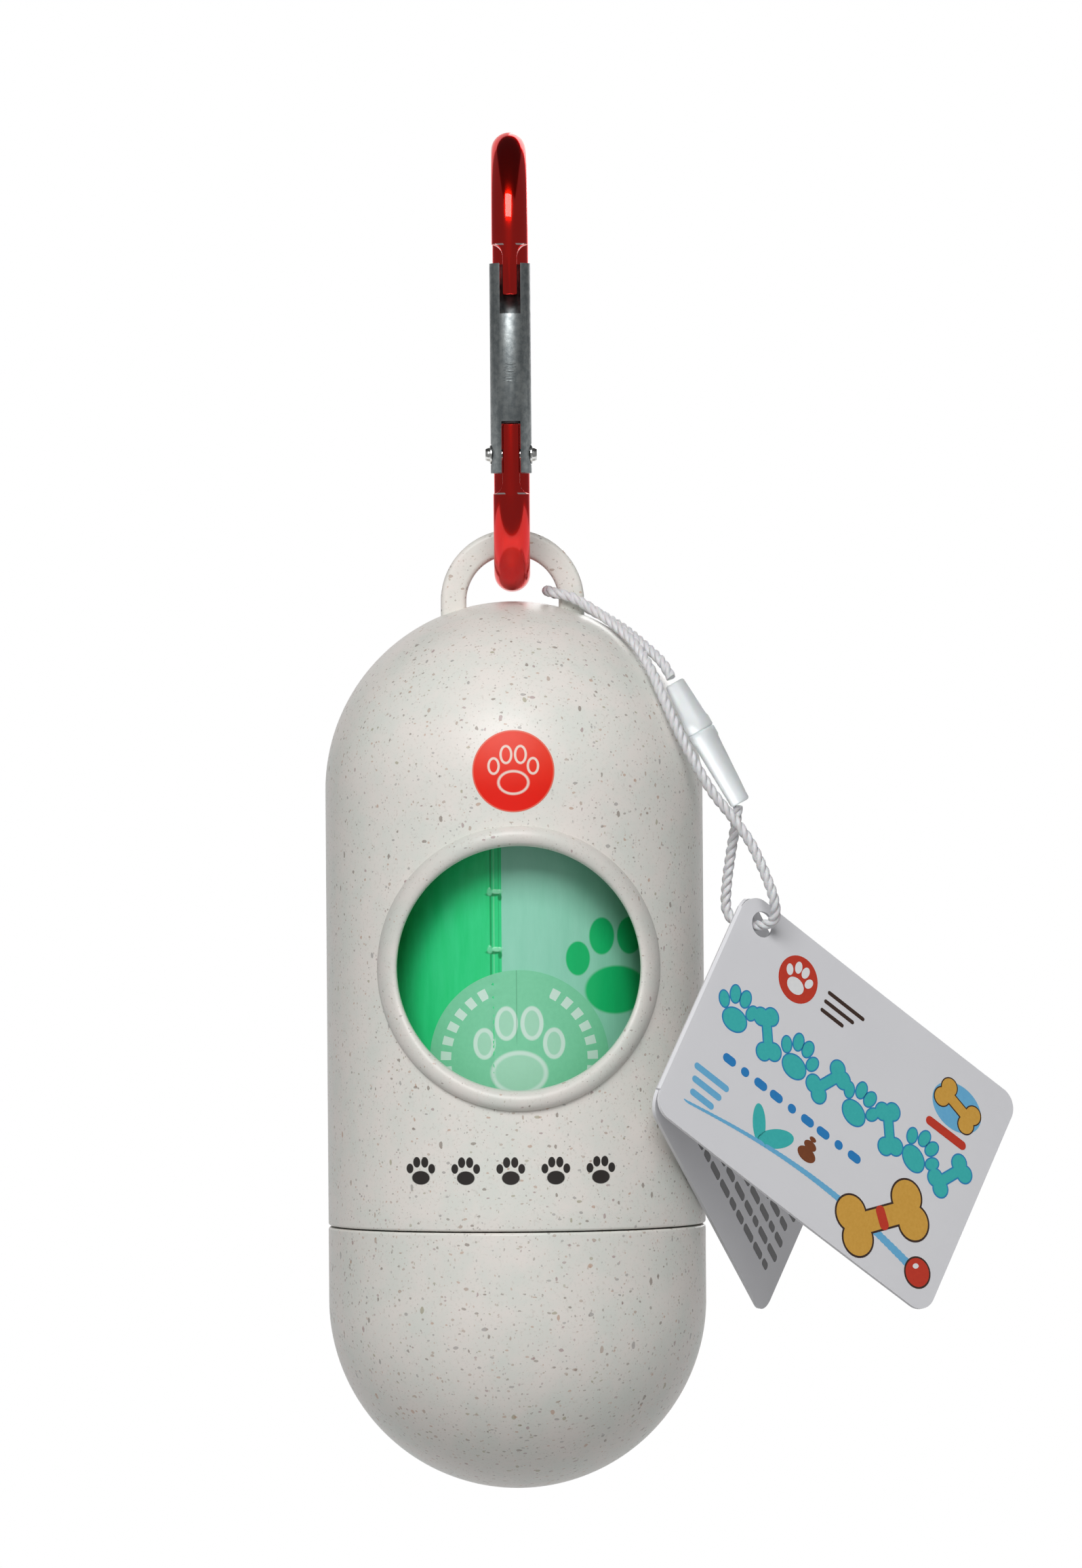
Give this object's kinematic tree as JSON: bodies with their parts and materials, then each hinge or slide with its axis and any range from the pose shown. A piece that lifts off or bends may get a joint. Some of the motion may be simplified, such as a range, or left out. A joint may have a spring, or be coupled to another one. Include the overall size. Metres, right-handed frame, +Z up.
{
  "type": "dog poop bag dispenser",
  "caption": "Capsule dispenser for rolled dog waste bags: domed housing with a round window and moulded eye, screw cap, small gated carabiner, and a folded card tag on a string.",
  "frame": {"origin": "inner crown of the carabiner's top bend, where the object hangs", "axes": "+Z up along the hanging object, -Y towards the window and the carabiner's gate, +X to the right of someone looking at the window"},
  "size_m": [0.0733, 0.0443, 0.1437],
  "materials": {
    "straw_plastic": "satin",
    "red_anodised": "gloss",
    "gate_sheet": "satin",
    "rivet_steel": "gloss",
    "spring_steel": "satin",
    "plunger_plastic": "satin",
    "core_card": "matte",
    "green_film": "satin",
    "sticker_paper": "satin",
    "tag_card": "satin",
    "nylon_string": "satin",
    "clear_lock": "gloss"
  },
  "bodies": {
    "carabiner": {"carabiner_frame": "red_anodised"},
    "gate": {"carabiner_gate": "gate_sheet", "gate_rivet": "rivet_steel", "gate_spring": "spring_steel"},
    "plunger": {"gate_plunger": "plunger_plastic"},
    "housing": {"housing": "straw_plastic", "tag_string": "nylon_string", "string_lock_socket": "clear_lock", "string_lock_plug": "clear_lock"},
    "core": {"roll_core": "core_card"},
    "cap": {"cap": "straw_plastic"},
    "bags": {"bag_roll": "green_film", "roll_sticker": "sticker_paper"},
    "tag": {"tag_card": "tag_card"}
  },
  "joints": [
    {"name": "gate_pivot", "type": "hinge", "parent": "carabiner", "child": "gate", "pos_m": [0, -0.0101, -0.0306], "axis": [-1, 0, 0], "range_deg": [0, 28], "stiffness_Nm_per_rad": 0.006, "springref_deg": -20.05},
    {"name": "plunger_slide", "type": "slide", "parent": "gate", "child": "plunger", "axis": [0, 0, 1], "range_m": [0, 0.0004], "deforming": ["gate_spring"]},
    {"name": "housing_swing", "type": "hinge", "parent": "carabiner", "child": "housing", "pos_m": [0, 0, -0.0429], "axis": [0, -1, 0], "range_deg": [-80, 80]},
    {"name": "cap_draw", "type": "slide", "parent": "housing", "child": "core", "axis": [0, 0, -1], "range_m": [0, 0.006]},
    {"name": "cap_turn", "type": "hinge", "parent": "core", "child": "cap", "pos_m": [0, 0, -0.12], "axis": [0, 0, -1], "range_deg": [0, 540]},
    {"name": "roll_spin", "type": "hinge", "parent": "core", "child": "bags", "pos_m": [0, 0, -0.1], "axis": [0, 0, 1], "continuous": true},
    {"name": "tag_swing", "type": "hinge", "parent": "housing", "child": "tag", "pos_m": [0.02529, -0.00636, -0.08031], "axis": [0.7624, -0.6467, 0.0215], "range_deg": [0, 30]}
  ],
  "couplings": [
    {"joint": "gate_pivot", "follows": "plunger_slide", "rad_per_m": 1221.7},
    {"joint": "cap_turn", "follows": "cap_draw", "rad_per_m": 1570.8}
  ]
}
